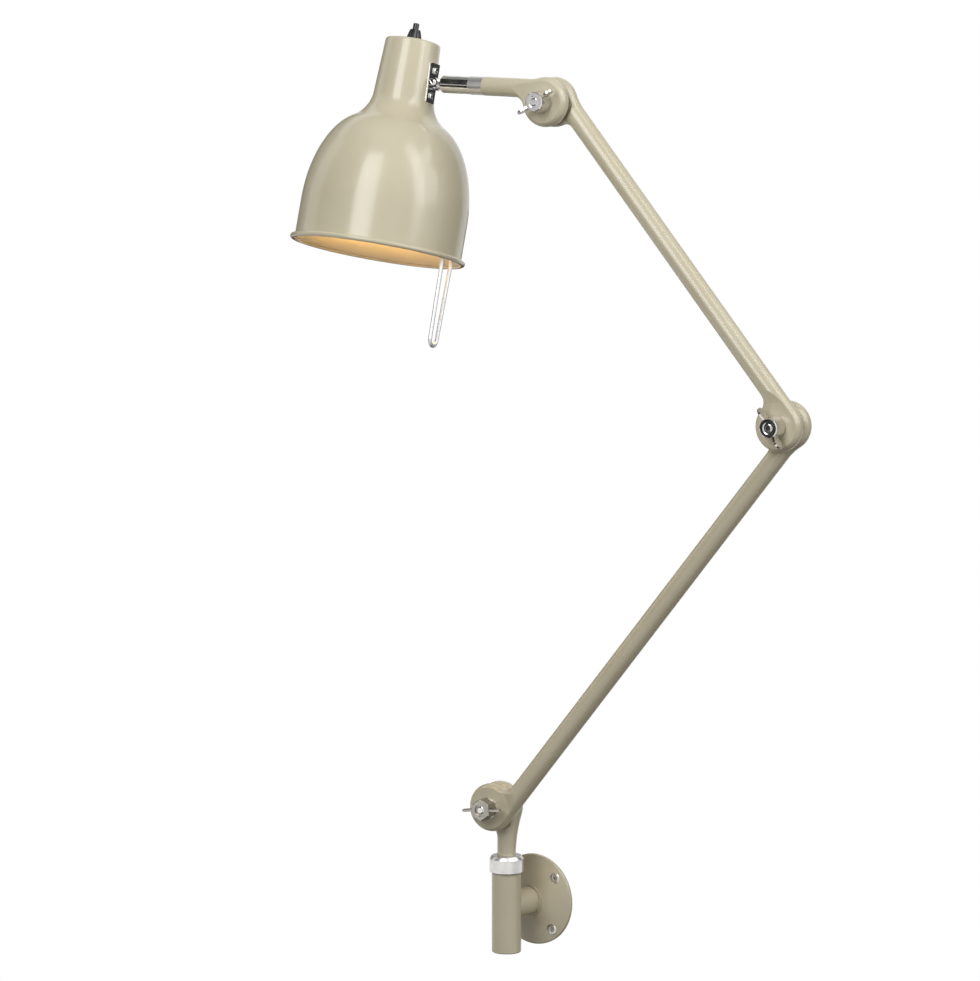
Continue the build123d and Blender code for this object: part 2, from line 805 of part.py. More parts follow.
# Shade bracket: a plate with a saddle back on the neck and two ears round the sleeve's tongue
ear_inner = tongue_thickness / 2 + ear_play
ear_outer = ear_inner + ear_thickness
saddle_depth = bracket_width**2 / 8 / (neck_top_dia / 2) + bracket_plate
screw_hole_radius = bracket_screw_dia / 2 + seat_clearance
screw_levels = (-bracket_screw_pitch / 2, bracket_screw_pitch / 2)
plate_plane = end_of(tilt_frame, pin_to_plate)
with BuildPart() as shade_bracket:
    with BuildSketch(plate_plane):
        RectangleRounded(bracket_height, bracket_width, bracket_plate * 0.7)
    extrude(amount=bracket_plate + saddle_depth)
    for side in (ear_inner, -ear_outer):
        with BuildSketch(tilt_frame.offset(side)):
            Circle(ear_radius)
            with Locations((pin_to_plate / 2 + bracket_plate / 4, 0)):
                Rectangle(pin_to_plate + bracket_plate / 2, 2 * ear_radius)
        extrude(amount=ear_thickness)
    add(shade_form(0), mode=Mode.SUBTRACT)
    with BuildSketch(tilt_frame.offset(-ear_outer)):
        Circle(pin_dia / 2 + seat_clearance)
    extrude(amount=2 * ear_outer, mode=Mode.SUBTRACT)
    with BuildSketch(tilt_frame.offset(-ear_inner)):
        Circle(pin_to_plate + bracket_plate)
    extrude(amount=2 * ear_inner, mode=Mode.SUBTRACT)
    with BuildSketch(plate_plane):
        with Locations(*[(level, 0) for level in screw_levels]):
            Circle(screw_hole_radius)
    extrude(amount=2 * saddle_depth, mode=Mode.SUBTRACT)
keep(shade_bracket.part, "shade_bracket")

# Tilt screw through the ears and the tongue, with its head on the room side, and its nut
shank_end = ear_outer + tilt_nut + pin_dia / 4
with BuildPart() as tilt_screw:
    with BuildSketch(tilt_frame.offset(-ear_outer)):
        Circle(tilt_head_dia / 2)
    extrude(amount=-tilt_head)
    fillet(tilt_screw.edges().sort_by(axis_of(tilt_frame))[0], tilt_head / 2)
    with BuildSketch(tilt_frame.offset(-ear_outer)):
        Circle(pin_dia / 2)
    extrude(amount=ear_outer + shank_end)
keep(tilt_screw.part, "tilt_screw")

with BuildPart() as tilt_hex:
    with BuildSketch(tilt_frame.offset(ear_outer)):
        RegularPolygon(tilt_nut_size / 2, 6, major_radius=False, rotation=30)
        Circle(pin_dia / 2 + seat_clearance, mode=Mode.SUBTRACT)
    extrude(amount=tilt_nut)
keep(tilt_hex.part, "tilt_nut")

# Shade: one spun sheet with a rolled rim
with BuildPart() as shade:
    add(shade_form(0, bead=rim_bead_dia / 2))
    add(shade_form(shade_wall), mode=Mode.SUBTRACT)
    with BuildSketch(shade_frame.offset(-neck_top_dia / 4)):
        Circle(switch_bush_dia / 2 + seat_clearance)
    extrude(amount=neck_top_dia / 2, mode=Mode.SUBTRACT)
    with BuildSketch(plate_plane):
        with Locations(*[(level, 0) for level in screw_levels]):
            Circle(screw_hole_radius)
    extrude(amount=pin_radius, mode=Mode.SUBTRACT)
keep(shade.part, "shade")

# Strap: the two bracket screws hold it inside the neck, and it carries the lampholder
strap_inside = neck_radius(strap_depth) - shade_wall - seat_clearance
strap_face = sqrt(strap_inside**2 - (strap_width / 2) ** 2)
strap_inner = strap_face - strap_thickness
with BuildPart() as lampholder_strap:
    with BuildSketch(side_of(shade_frame).offset(-strap_width / 2)):
        with BuildLine():
            Polyline(
                (-strap_tail, -strap_depth),
                (strap_face, -strap_depth),
                (strap_face, -strap_depth - strap_length),
                (strap_inner, -strap_depth - strap_length),
                (strap_inner, -strap_depth - strap_thickness),
                (-strap_tail, -strap_depth - strap_thickness),
                close=True,
            )
        make_face()
    extrude(amount=strap_width)
    with BuildSketch(shade_frame):
        Circle(nipple_dia / 2 + seat_clearance)
    extrude(amount=-strap_depth - strap_thickness, mode=Mode.SUBTRACT)
    with BuildSketch(plate_plane):
        with Locations(*[(level, 0) for level in screw_levels]):
            Circle(screw_hole_radius)
    extrude(amount=pin_radius, mode=Mode.SUBTRACT)
keep(lampholder_strap.part, "lampholder_strap")

# Bracket screws: through the plate and the neck into the strap
screw_reach = bracket_face - strap_inner - seat_clearance
with BuildPart() as bracket_screws:
    with BuildSketch(plate_plane):
        with Locations(*[(level, 0) for level in screw_levels]):
            Circle(bracket_screw_head_dia / 2)
    extrude(amount=-bracket_screw_head)
    fillet(
        bracket_screws.edges().group_by(Axis(tilt_frame.origin, tilt_frame.x_dir))[0],
        bracket_screw_head / 2,
    )
    with BuildSketch(plate_plane):
        with Locations(*[(level, 0) for level in screw_levels]):
            Circle(bracket_screw_dia / 2)
    extrude(amount=screw_reach)
keep(bracket_screws.part, "bracket_screws")

# Lampholder on its nipple
strap_foot = -strap_depth - strap_thickness
holder_foot = strap_foot - holder_length
socket_floor = strap_foot - holder_crown
holder_radius = holder_dia / 2
nipple_radius = nipple_dia / 2
nipple_hole = nipple_radius + seat_clearance
keep(
    turned_piece(
        shade_frame,
        [
            (nipple_hole, strap_foot),
            (holder_radius - holder_crown / 2, strap_foot),
            (holder_radius, strap_foot - holder_crown / 2),
            (holder_radius, holder_foot),
            (socket_dia / 2, holder_foot),
            (socket_dia / 2, socket_floor),
            (nipple_hole, socket_floor),
        ],
    ),
    "lampholder",
)
keep(
    turned_piece(
        shade_frame,
        [
            (nipple_bore / 2, -strap_depth + nipple_flange),
            (nipple_flange_dia / 2, -strap_depth + nipple_flange),
            (nipple_flange_dia / 2, -strap_depth),
            (nipple_radius, -strap_depth),
            (nipple_radius, strap_foot - nipple_grip),
            (nipple_bore / 2, strap_foot - nipple_grip),
        ],
    ),
    "lampholder_nipple",
)

# Lamp: a screw cap in the socket and an opal pear-shaped glass
lamp_top = socket_floor - loose_clearance
cap_top = lamp_top - lamp_tip
glass_top = holder_foot - loose_clearance
glass_radius = lamp_dia / 2
glass_middle = glass_top - lamp_glass_length + glass_radius
keep(
    turned_piece(
        shade_frame,
        [
            (0, lamp_top),
            (lamp_tip_dia / 2, lamp_top),
            (lamp_tip_dia / 2, cap_top),
            (lamp_cap_dia / 2, cap_top - lamp_tip),
            (lamp_cap_dia / 2, glass_top),
            (0, glass_top),
        ],
    ),
    "bulb_cap",
)
with BuildPart() as bulb_glass:
    with BuildSketch(side_of(shade_frame)):
        with BuildLine():
            neck = Spline(
                (lamp_neck_dia / 2, glass_top), (glass_radius, glass_middle), tangents=[(0, -1), (0, -1)]
            )
            CenterArc((0, glass_middle), glass_radius, 270, 90)
            Polyline((0, glass_middle - glass_radius), (0, glass_top), neck @ 0)
        make_face()
    revolve(axis=axis_of(shade_frame))
    offset(amount=-lamp_glass_wall, openings=bulb_glass.faces().filter_by(GeomType.PLANE))
keep(bulb_glass.part, "bulb_glass")

# Push switch: a body under the neck's top, a threaded bush through it, a tapered nut and a plunger
switch_top = switch_bush_height
plunger_foot = -plunger_depth
plunger_hole = plunger_dia / 2 + running_clearance
bush_radius = switch_bush_dia / 2
with BuildPart() as switch_body:
    with BuildSketch(shade_frame.offset(-shade_wall - seat_clearance)):
        Rectangle(switch_body_width, switch_body_depth)
    extrude(amount=-switch_body_height)
    with BuildSketch(shade_frame.offset(-shade_wall - seat_clearance)):
        Circle(bush_radius)
    extrude(amount=switch_top + shade_wall + seat_clearance)
    with BuildSketch(shade_frame.offset(plunger_foot - plunger_travel - loose_clearance)):
        Circle(plunger_hole)
    extrude(amount=switch_top - plunger_foot + plunger_travel + loose_clearance, mode=Mode.SUBTRACT)
keep(switch_body.part, "switch_body")

switch_nut_top = switch_nut_height
keep(
    turned_piece(
        shade_frame,
        [
            (bush_radius + seat_clearance, 0),
            (switch_nut_dia / 2, 0),
            (switch_nut_crown_dia / 2, switch_nut_top),
            (plunger_hole, switch_nut_top),
            (plunger_hole, switch_top + seat_clearance),
            (bush_radius + seat_clearance, switch_top + seat_clearance),
        ],
    ),
    "switch_nut",
)

with BuildPart() as switch_plunger:
    with BuildSketch(shade_frame.offset(plunger_foot)):
        Circle(plunger_dia / 2)
    extrude(amount=switch_nut_top + plunger_height - plunger_foot)
    fillet(switch_plunger.edges().sort_by(axis_of(shade_frame))[-1], plunger_dia / 6)
keep(switch_plunger.part, "switch_plunger")

# Guide loop: a wire hairpin on the inside of the bell, below the bracket
loop_frame = turned(shade_frame, shade_frame.z_dir, loop_turn)
loop_plane = end_of(loop_frame, loop_radius)
bend_radius = loop_bend / 2
bend_depth = loop_bottom - bend_radius
leg_drop = bend_depth - loop_top
leg_slant = hypot(loop_spread / 2, leg_drop)
leg_lean = degrees(acos(bend_radius / leg_slant) - acos(loop_spread / 2 / leg_slant))


def hairpin(radius):
    """Round wire along two slightly closing legs and the bend between them."""
    with BuildPart() as wire:
        with BuildLine(loop_plane) as route:
            bend = CenterArc((0, -bend_depth), bend_radius, 180 + leg_lean, 180 - 2 * leg_lean)
            Line((-loop_spread / 2, -loop_top), bend @ 0)
            Line(bend @ 1, (loop_spread / 2, -loop_top))
        start = route.wires()[0]
        with BuildSketch(Plane(origin=start @ 0, z_dir=start % 0)):
            Circle(radius)
        sweep(path=start)
    return wire.part


wire_radius = loop_wire / 2
keep(hairpin(wire_radius), "guide_loop")

# Loop clip: a saddle on the bell's inner wall with a groove for each leg
bell_inside = bell_radius - shade_wall - seat_clearance
clip_half = loop_spread / 2 + wire_radius + clip_side
with BuildPart() as loop_clip:
    with BuildSketch(loop_frame.offset(-clip_top)):
        Circle(bell_inside)
        with Locations((loop_radius - wire_radius - clip_cover + bell_inside, 0)):
            Rectangle(2 * bell_inside, 2 * clip_half, mode=Mode.INTERSECT)
    extrude(amount=-clip_height)
    add(hairpin(wire_radius + seat_clearance), mode=Mode.SUBTRACT)
keep(loop_clip.part, "loop_clip")
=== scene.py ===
"""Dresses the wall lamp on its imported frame: stove enamel, plating, the lit lamp in its shade, and details
that are too fine for the solids. Lengths are in metres, in the frame of the solids."""
import json
from math import atan2, cos, radians, sin, tau

import bmesh
import bpy
from mathutils import Matrix, Vector


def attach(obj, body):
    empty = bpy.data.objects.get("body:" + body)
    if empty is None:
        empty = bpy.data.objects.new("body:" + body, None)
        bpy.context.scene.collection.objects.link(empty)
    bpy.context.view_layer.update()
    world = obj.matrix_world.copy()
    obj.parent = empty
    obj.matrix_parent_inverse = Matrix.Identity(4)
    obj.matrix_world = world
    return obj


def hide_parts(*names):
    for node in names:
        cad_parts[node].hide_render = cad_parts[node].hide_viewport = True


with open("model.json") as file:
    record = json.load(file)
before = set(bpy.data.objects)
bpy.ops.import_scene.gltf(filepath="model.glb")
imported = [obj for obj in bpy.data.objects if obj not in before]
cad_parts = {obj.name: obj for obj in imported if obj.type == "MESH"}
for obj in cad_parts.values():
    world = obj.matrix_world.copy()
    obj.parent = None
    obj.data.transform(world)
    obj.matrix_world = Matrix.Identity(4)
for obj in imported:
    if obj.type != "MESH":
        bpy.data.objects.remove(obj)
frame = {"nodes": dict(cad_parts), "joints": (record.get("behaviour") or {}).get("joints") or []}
nodes = frame["nodes"]
joints = {joint["name"]: joint for joint in frame["joints"]}
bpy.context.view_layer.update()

# Wall plate. A spun steel dome with a turned collar, hollow behind, with four countersunk holes near its
# edge. It is stove-enamelled in a greyish cream, as all the painted pieces are: a smooth skin with a faint
# orange peel, and a tone that drifts a little where the coat is thinner.


def new_skin(name, main_tone, other_tone, polish):
    """An empty group for a finish: two tones and a polish in; colour, roughness and fine relief out."""
    skin = bpy.data.node_groups.new(name, "ShaderNodeTree")
    skin.interface.new_socket(main_tone, in_out="INPUT", socket_type="NodeSocketColor")
    skin.interface.new_socket(other_tone, in_out="INPUT", socket_type="NodeSocketColor")
    skin.interface.new_socket(polish, in_out="INPUT", socket_type="NodeSocketFloat")
    skin.interface.new_socket("Color", in_out="OUTPUT", socket_type="NodeSocketColor")
    skin.interface.new_socket("Roughness", in_out="OUTPUT", socket_type="NodeSocketFloat")
    skin.interface.new_socket("Peel", in_out="OUTPUT", socket_type="NodeSocketFloat")
    return skin


def skin_noise(skin, place, scale, detail):
    """Noise of the given grain, fixed to the piece."""
    noise = skin.nodes.new("ShaderNodeTexNoise")
    noise.inputs["Scale"].default_value = scale
    noise.inputs["Detail"].default_value = detail
    skin.links.new(place.outputs["Object"], noise.inputs["Vector"])
    return noise


enamel_skin = new_skin("enamel_skin", "Full Coat", "Thin Coat", "Gloss")
coat_in = enamel_skin.nodes.new("NodeGroupInput")
coat_out = enamel_skin.nodes.new("NodeGroupOutput")
coat_place = enamel_skin.nodes.new("ShaderNodeTexCoord")
drift = skin_noise(enamel_skin, coat_place, scale=22.0, detail=4.0)
thinness = enamel_skin.nodes.new("ShaderNodeMapRange")
thinness.inputs["From Min"].default_value = 0.35
thinness.inputs["From Max"].default_value = 0.7
coat = enamel_skin.nodes.new("ShaderNodeMix")
coat.data_type = "RGBA"
cloud = skin_noise(enamel_skin, coat_place, scale=75.0, detail=3.0)
gloss_drift = enamel_skin.nodes.new("ShaderNodeMapRange")
gloss_drift.inputs["From Min"].default_value = 0.3
gloss_drift.inputs["From Max"].default_value = 0.7
gloss_drift.inputs["To Min"].default_value = -0.03
gloss_drift.inputs["To Max"].default_value = 0.04
gloss_sum = enamel_skin.nodes.new("ShaderNodeMath")
peel = skin_noise(enamel_skin, coat_place, scale=420.0, detail=1.0)
enamel_skin.links.new(drift.outputs["Fac"], thinness.inputs["Value"])
enamel_skin.links.new(thinness.outputs["Result"], coat.inputs["Factor"])
enamel_skin.links.new(coat_in.outputs["Full Coat"], coat.inputs["A"])
enamel_skin.links.new(coat_in.outputs["Thin Coat"], coat.inputs["B"])
enamel_skin.links.new(coat.outputs["Result"], coat_out.inputs["Color"])
enamel_skin.links.new(cloud.outputs["Fac"], gloss_drift.inputs["Value"])
enamel_skin.links.new(gloss_drift.outputs["Result"], gloss_sum.inputs[0])
enamel_skin.links.new(coat_in.outputs["Gloss"], gloss_sum.inputs[1])
enamel_skin.links.new(gloss_sum.outputs["Value"], coat_out.inputs["Roughness"])
enamel_skin.links.new(peel.outputs["Fac"], coat_out.inputs["Peel"])


def finish_of(name, skin, inputs, relief, relief_height):
    """A material whose colour, roughness and fine relief come from a skin group with the given inputs."""
    material = bpy.data.materials.new(name)
    material.use_nodes = True
    tree = material.node_tree
    surface = tree.nodes["Principled BSDF"]
    group = tree.nodes.new("ShaderNodeGroup")
    group.node_tree = skin
    for socket, value in inputs.items():
        group.inputs[socket].default_value = value
    bump = tree.nodes.new("ShaderNodeBump")
    bump.inputs["Strength"].default_value = relief
    bump.inputs["Distance"].default_value = relief_height
    tree.links.new(group.outputs["Color"], surface.inputs["Base Color"])
    tree.links.new(group.outputs["Roughness"], surface.inputs["Roughness"])
    tree.links.new(group.outputs["Peel"], bump.inputs["Height"])
    tree.links.new(bump.outputs["Normal"], surface.inputs["Normal"])
    return material


cream_enamel = finish_of(
    "cream_enamel",
    enamel_skin,
    {"Full Coat": (0.515, 0.470, 0.345, 1.0), "Thin Coat": (0.490, 0.442, 0.320, 1.0), "Gloss": 0.20},
    relief=0.025,
    relief_height=0.0002,
)


def coat_node(name, material):
    """Gives one of the solids a finish."""
    nodes[name].data.materials.clear()
    nodes[name].data.materials.append(material)


coat_node("wall_plate", cream_enamel)

# Wall screws. Four plated countersunk screws hold the plate to the wall, each with a slightly domed head and
# a straight slot. They belong to the wall, so the solids leave them out.
haze_roughness = 0.08
polishing_mark = 0.00005
plating_skin = new_skin("plating_skin", "Bright", "Hazy", "Polish")
plating_in = plating_skin.nodes.new("NodeGroupInput")
plating_out = plating_skin.nodes.new("NodeGroupOutput")
plating_place = plating_skin.nodes.new("ShaderNodeTexCoord")
haze = skin_noise(plating_skin, plating_place, scale=160.0, detail=4.0)
haze_range = plating_skin.nodes.new("ShaderNodeMapRange")
haze_range.inputs["From Min"].default_value = 0.35
haze_range.inputs["From Max"].default_value = 0.75
tint = plating_skin.nodes.new("ShaderNodeMix")
tint.data_type = "RGBA"
dull = plating_skin.nodes.new("ShaderNodeMath")
dull.operation = "MULTIPLY_ADD"
dull.inputs[1].default_value = haze_roughness
marks = skin_noise(plating_skin, plating_place, scale=1500.0, detail=2.0)
plating_skin.links.new(haze.outputs["Fac"], haze_range.inputs["Value"])
plating_skin.links.new(haze_range.outputs["Result"], tint.inputs["Factor"])
plating_skin.links.new(plating_in.outputs["Bright"], tint.inputs["A"])
plating_skin.links.new(plating_in.outputs["Hazy"], tint.inputs["B"])
plating_skin.links.new(tint.outputs["Result"], plating_out.inputs["Color"])
plating_skin.links.new(haze_range.outputs["Result"], dull.inputs[0])
plating_skin.links.new(plating_in.outputs["Polish"], dull.inputs[2])
plating_skin.links.new(dull.outputs["Value"], plating_out.inputs["Roughness"])
plating_skin.links.new(marks.outputs["Fac"], plating_out.inputs["Peel"])


def plated(name, bright, hazy, polish, relief=0.03):
    """A bright plated or plain metal finish, with haze and fine polishing marks."""
    tones = {"Bright": bright, "Hazy": hazy, "Polish": polish}
    material = finish_of(name, plating_skin, tones, relief, polishing_mark)
    material.node_tree.nodes["Principled BSDF"].inputs["Metallic"].default_value = 1.0
    return material


zinc_plate = plated("zinc_plate", (0.62, 0.60, 0.56, 1.0), (0.50, 0.48, 0.45, 1.0), 0.24)
same_point = 1e-6


def turned_outline(work, outline, steps, closed=False):
    """Spins an outline of (radius, height) points round the upright axis, and turns its faces outwards."""
    points = [work.verts.new((radius, 0.0, height)) for radius, height in outline]
    edges = [work.edges.new(pair) for pair in zip(points, points[1:])]
    if closed:
        edges.append(work.edges.new((points[-1], points[0])))
    bmesh.ops.spin(
        work, geom=points + edges, cent=(0, 0, 0), axis=(0, 0, 1), angle=tau, steps=steps, use_merge=True
    )
    bmesh.ops.remove_doubles(work, verts=work.verts, dist=same_point)
    bmesh.ops.recalc_face_normals(work, faces=work.faces)


def cut_slot(work, height, half_width, depth):
    """Sinks a straight screwdriver slot across the flat crown of a head, which lies at the given height."""
    for side in (-half_width, half_width):
        crown = [
            face for face in work.faces if all(abs(vert.co.z - height) < same_point for vert in face.verts)
        ]
        rims = {item for face in crown for item in (*face.edges, *face.verts)}
        bmesh.ops.bisect_plane(work, geom=crown + list(rims), plane_co=(0, side, 0), plane_no=(0, 1, 0))
    strip = []
    for face in work.faces:
        middle = face.calc_center_median()
        if abs(middle.z - height) < same_point and abs(middle.y) < half_width:
            strip.append(face)
    sunk = bmesh.ops.extrude_face_region(work, geom=strip)["geom"]
    bmesh.ops.delete(work, geom=strip, context="FACES")
    slot_floor = [item for item in sunk if isinstance(item, bmesh.types.BMVert)]
    bmesh.ops.translate(work, verts=slot_floor, vec=(0, 0, -depth))
    bmesh.ops.recalc_face_normals(work, faces=work.faces)


def fit_piece(name, work, material, body, slot, *stands_for, sharp=35.0):
    """Makes a finished piece of a mesh: smooth but for its sharp edges, riding on a body of the lamp."""
    mesh = bpy.data.meshes.new(name)
    work.to_mesh(mesh)
    work.free()
    mesh.shade_smooth()
    mesh.set_sharp_from_angle(angle=radians(sharp))
    mesh.materials.append(material)
    piece = bpy.data.objects.new(name, mesh)
    bpy.context.scene.collection.objects.link(piece)
    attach(piece, body)
    if stands_for:
        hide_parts(*stands_for)
    return piece


def stand_at(origin, upward, forward):
    """The placing that takes a piece made upright at the origin to a point, its axis and front turned."""
    z_axis = Vector(upward).normalized()
    y_axis = z_axis.cross(Vector(forward)).normalized()
    x_axis = y_axis.cross(z_axis)
    turn = Matrix((x_axis, y_axis, z_axis)).transposed().to_4x4()
    return Matrix.Translation(origin) @ turn


screw_circle = 0.0285
screw_seat = 0.0039
screw_crown = 0.0005
first_screw = radians(41.0)
first_slot = 0.6
for number in range(4):
    angle = first_screw + number * tau / 4
    slot_angle = first_slot + number
    work = bmesh.new()
    turned_outline(
        work,
        [
            (0.0, screw_crown),
            (0.0024, screw_crown),
            (0.0036, 0.0002),
            (0.0041, -0.0001),
            (0.0022, -0.0022),
            (0.0, -0.0022),
        ],
        steps=32,
    )
    cut_slot(work, screw_crown, half_width=0.00045, depth=0.0009)
    spot = Vector((screw_circle * cos(angle), -screw_seat, screw_circle * sin(angle)))
    work.transform(stand_at(spot, (0, -1, 0), (cos(slot_angle), 0.0, sin(slot_angle))))
    fit_piece(f"wall_screw_{number + 1}", work, zinc_plate, "wall_mount", "plain_steel", sharp=28.0)

# Stub and column. The stub is a short tube in the plate's collar, coped to the column and brazed to it, and
# the column an upright tube with two turned bushes in it and a rubber inlet for the cable in its foot.
# Near-black finish for the cable inlet and the pivot washers. On the washers it is partly painted shade, for
# the gap between the lugs.
dark_fibre_and_gap_shade = finish_of(
    "dark_fibre_and_gap_shade",
    enamel_skin,
    {"Full Coat": (0.020, 0.019, 0.018, 1.0), "Thin Coat": (0.035, 0.033, 0.030, 1.0), "Gloss": 0.62},
    relief=0.25,
    relief_height=0.0002,
)
bush_bronze = plated("bush_bronze", (0.58, 0.40, 0.18, 1.0), (0.45, 0.30, 0.13, 1.0), 0.28)
coat_node("wall_stub", cream_enamel)
coat_node("column", cream_enamel)
coat_node("upper_bush", bush_bronze)
coat_node("lower_bush", bush_bronze)
coat_node("cable_bush", dark_fibre_and_gap_shade)

# Lock ring. A ring of satin chromed steel that screws down over the column's neck to hold the swivel. Its
# side is knurled for a grip between the fingers, with a plain bevel above.
satin_plate = plated("satin_plate", (0.74, 0.73, 0.71, 1.0), (0.62, 0.61, 0.59, 1.0), 0.30, relief=0.10)
ring_teeth = 96
knurl_foot = 0.0278
knurl_top = 0.0363
knurl_root = 0.981
work = bmesh.new()
turned_outline(
    work,
    [
        (0.00985, 0.0266),
        (0.0126, 0.0266),
        (0.0130, 0.0271),
        (0.0131, knurl_foot),
        (0.0131, knurl_top),
        (0.0130, 0.0370),
        (0.0128, 0.0374),
        (0.0116, 0.0395),
        (0.0112, 0.0398),
        (0.0073, 0.0398),
        (0.0073, 0.03805),
        (0.00985, 0.03805),
    ],
    steps=2 * ring_teeth,
    closed=True,
)
roots = [
    vert
    for vert in work.verts
    if knurl_foot - same_point < vert.co.z < knurl_top + same_point
    and round(atan2(vert.co.y, vert.co.x) / tau * 2 * ring_teeth) % 2
]
bmesh.ops.scale(work, verts=roots, vec=(knurl_root, knurl_root, 1.0))
work.transform(Matrix.Translation(joints["lock_ring_turn"]["pos_m"]))
fit_piece("knurled_lock_ring", work, satin_plate, "lock_ring", "chrome", "lock_ring", sharp=24.0)

# Base knuckle. A painted casting, a disc lug on a stem that turns in the column's bushes. A spring clip in a
# groove of the stem keeps it from lifting out.
coat_node("base_knuckle", cream_enamel)
coat_node("stem_clip", zinc_plate)

# Lower arm, upper arm and head arm. Each is a drawn steel tube with cast lugs plugged into its ends, or into
# one end of the head arm, with the joints dressed flush and the whole painted as one piece.
for name in (
    "lower_arm_base_lug",
    "lower_arm_tube",
    "lower_arm_elbow_lug",
    "upper_arm_elbow_lug",
    "upper_arm_tube",
    "upper_arm_shoulder_lug",
    "head_arm_lug",
    "head_arm_tube",
):
    coat_node(name, cream_enamel)

# Pivot hardware. At each pivot a chromed bolt with a domed head goes through both lugs, with a dark fibre
# washer between them and a chromed one under the wing nut, in whose bore the bolt's thread shows. The
# washer's near-black colour is partly painted shade: it stands for the shadowed gap between the lugs. The
# nuts are chromed too, but for the base one, which is of dull nickel.
chrome_plate = plated("chrome_plate", (0.76, 0.75, 0.74, 1.0), (0.66, 0.65, 0.63, 1.0), 0.12)
dull_nickel = plated("dull_nickel", (0.42, 0.40, 0.36, 1.0), (0.33, 0.31, 0.27, 1.0), 0.27, relief=0.08)
bolt_radius = 0.0030
bolt_head = 0.0034
thread_length = 0.0150
thread_core = 0.0025
thread_pitch = 0.0010
thread_turns = 13
turn_steps = 32
ridge_foot = 0.00245
for pivot, holder in (("base", "base_knuckle"), ("elbow", "lower_arm"), ("shoulder", "upper_arm")):
    coat_node(f"{pivot}_friction_washer", dark_fibre_and_gap_shade)
    coat_node(f"{pivot}_front_washer", chrome_plate)
    coat_node(f"{pivot}_wing_nut", dull_nickel if pivot == "base" else chrome_plate)
    line = joints[f"{pivot}_pivot"]
    start = Vector(line["pos_m"])
    along = Vector(line["axis"])
    levels = [(vert.co - start).dot(along) for vert in nodes[f"{pivot}_bolt"].data.vertices]
    foot = min(levels)
    tip = max(levels)
    head_face = foot + bolt_head
    thread_start = tip - thread_length
    work = bmesh.new()
    turned_outline(
        work,
        [
            (0.0, foot),
            (0.0030, foot + 0.0003),
            (0.0055, foot + 0.0011),
            (0.0072, foot + 0.0022),
            (0.0079, head_face - 0.0004),
            (0.0080, head_face),
            (bolt_radius, head_face),
            (bolt_radius, thread_start),
            (thread_core, thread_start + 0.0005),
            (thread_core, tip - 0.0004),
            (0.0021, tip),
            (0.0, tip),
        ],
        steps=48,
    )
    shank_faces = set(work.faces)
    ridge = [
        work.verts.new((ridge_foot, 0.0, thread_start + 0.0005)),
        work.verts.new((bolt_radius, 0.0, thread_start + 0.00085)),
        work.verts.new((bolt_radius, 0.0, thread_start + 0.00095)),
        work.verts.new((ridge_foot, 0.0, thread_start + 0.0013)),
    ]
    ridge_edges = [work.edges.new(pair) for pair in zip(ridge, ridge[1:])]
    ridge_edges.append(work.edges.new((ridge[-1], ridge[0])))
    bmesh.ops.spin(
        work,
        geom=ridge + ridge_edges,
        cent=(0, 0, 0),
        dvec=(0, 0, thread_pitch / turn_steps),
        axis=(0, 0, 1),
        angle=tau * thread_turns,
        steps=turn_steps * thread_turns,
    )
    bmesh.ops.holes_fill(work, edges=[edge for edge in work.edges if edge.is_boundary], sides=4)
    bmesh.ops.recalc_face_normals(work, faces=[face for face in work.faces if face not in shank_faces])
    work.transform(stand_at(start, along, (0, 0, 1)))
    fit_piece(f"{pivot}_threaded_bolt", work, chrome_plate, holder, "chrome", f"{pivot}_bolt", sharp=32.0)

# Head swivel. A satin collar plugged into the head arm, and a polished sleeve that turns on the collar's
# journal, held by a grub screw. The sleeve's flat tongue carries the shade.
coat_node("swivel_collar", satin_plate)
coat_node("swivel_sleeve", chrome_plate)
coat_node("sleeve_grub_screw", zinc_plate)

# Shade bracket. A chromed plate with a hollowed back and two ears, held on the shade's neck by two slotted
# screws. The tilt screw goes through the ears and the sleeve's tongue into a nut on the far side.
coat_node("shade_bracket", chrome_plate)
coat_node("tilt_nut", chrome_plate)
shade_up = Vector(joints["bulb_turn"]["axis"])
tilt_pin = Vector(joints["shade_tilt"]["pos_m"])
tilt_line = Vector(joints["shade_tilt"]["axis"])
inward = shade_up.cross(tilt_line)
plate_face = 0.0023
screw_pitch = 0.019
second_slot = radians(65.0)
bracket_crown = 0.0013
depths = [(vert.co - tilt_pin).dot(inward) for vert in nodes["bracket_screws"].data.vertices]
screw_end = plate_face - max(depths)
work = bmesh.new()
turned_outline(
    work,
    [
        (0.0, bracket_crown),
        (0.0020, bracket_crown),
        (0.0024, 0.0010),
        (0.0025, 0.0005),
        (0.0025, 0.0),
        (0.0015, 0.0),
        (0.0015, screw_end),
        (0.0, screw_end),
    ],
    steps=32,
)
cut_slot(work, bracket_crown, half_width=0.0004, depth=0.0007)
doubled = bmesh.ops.duplicate(work, geom=work.verts[:] + work.edges[:] + work.faces[:])["geom"]
second_screw = [item for item in doubled if isinstance(item, bmesh.types.BMVert)]
bmesh.ops.rotate(work, verts=second_screw, cent=(0, 0, 0), matrix=Matrix.Rotation(second_slot, 3, "Z"))
bmesh.ops.translate(work, verts=second_screw, vec=(screw_pitch, 0, 0))
lower_seat = tilt_pin + inward * plate_face - shade_up * (screw_pitch / 2)
work.transform(stand_at(lower_seat, -inward, shade_up))
fit_piece("slotted_bracket_screws", work, chrome_plate, "shade", "chrome", "bracket_screws", sharp=30.0)

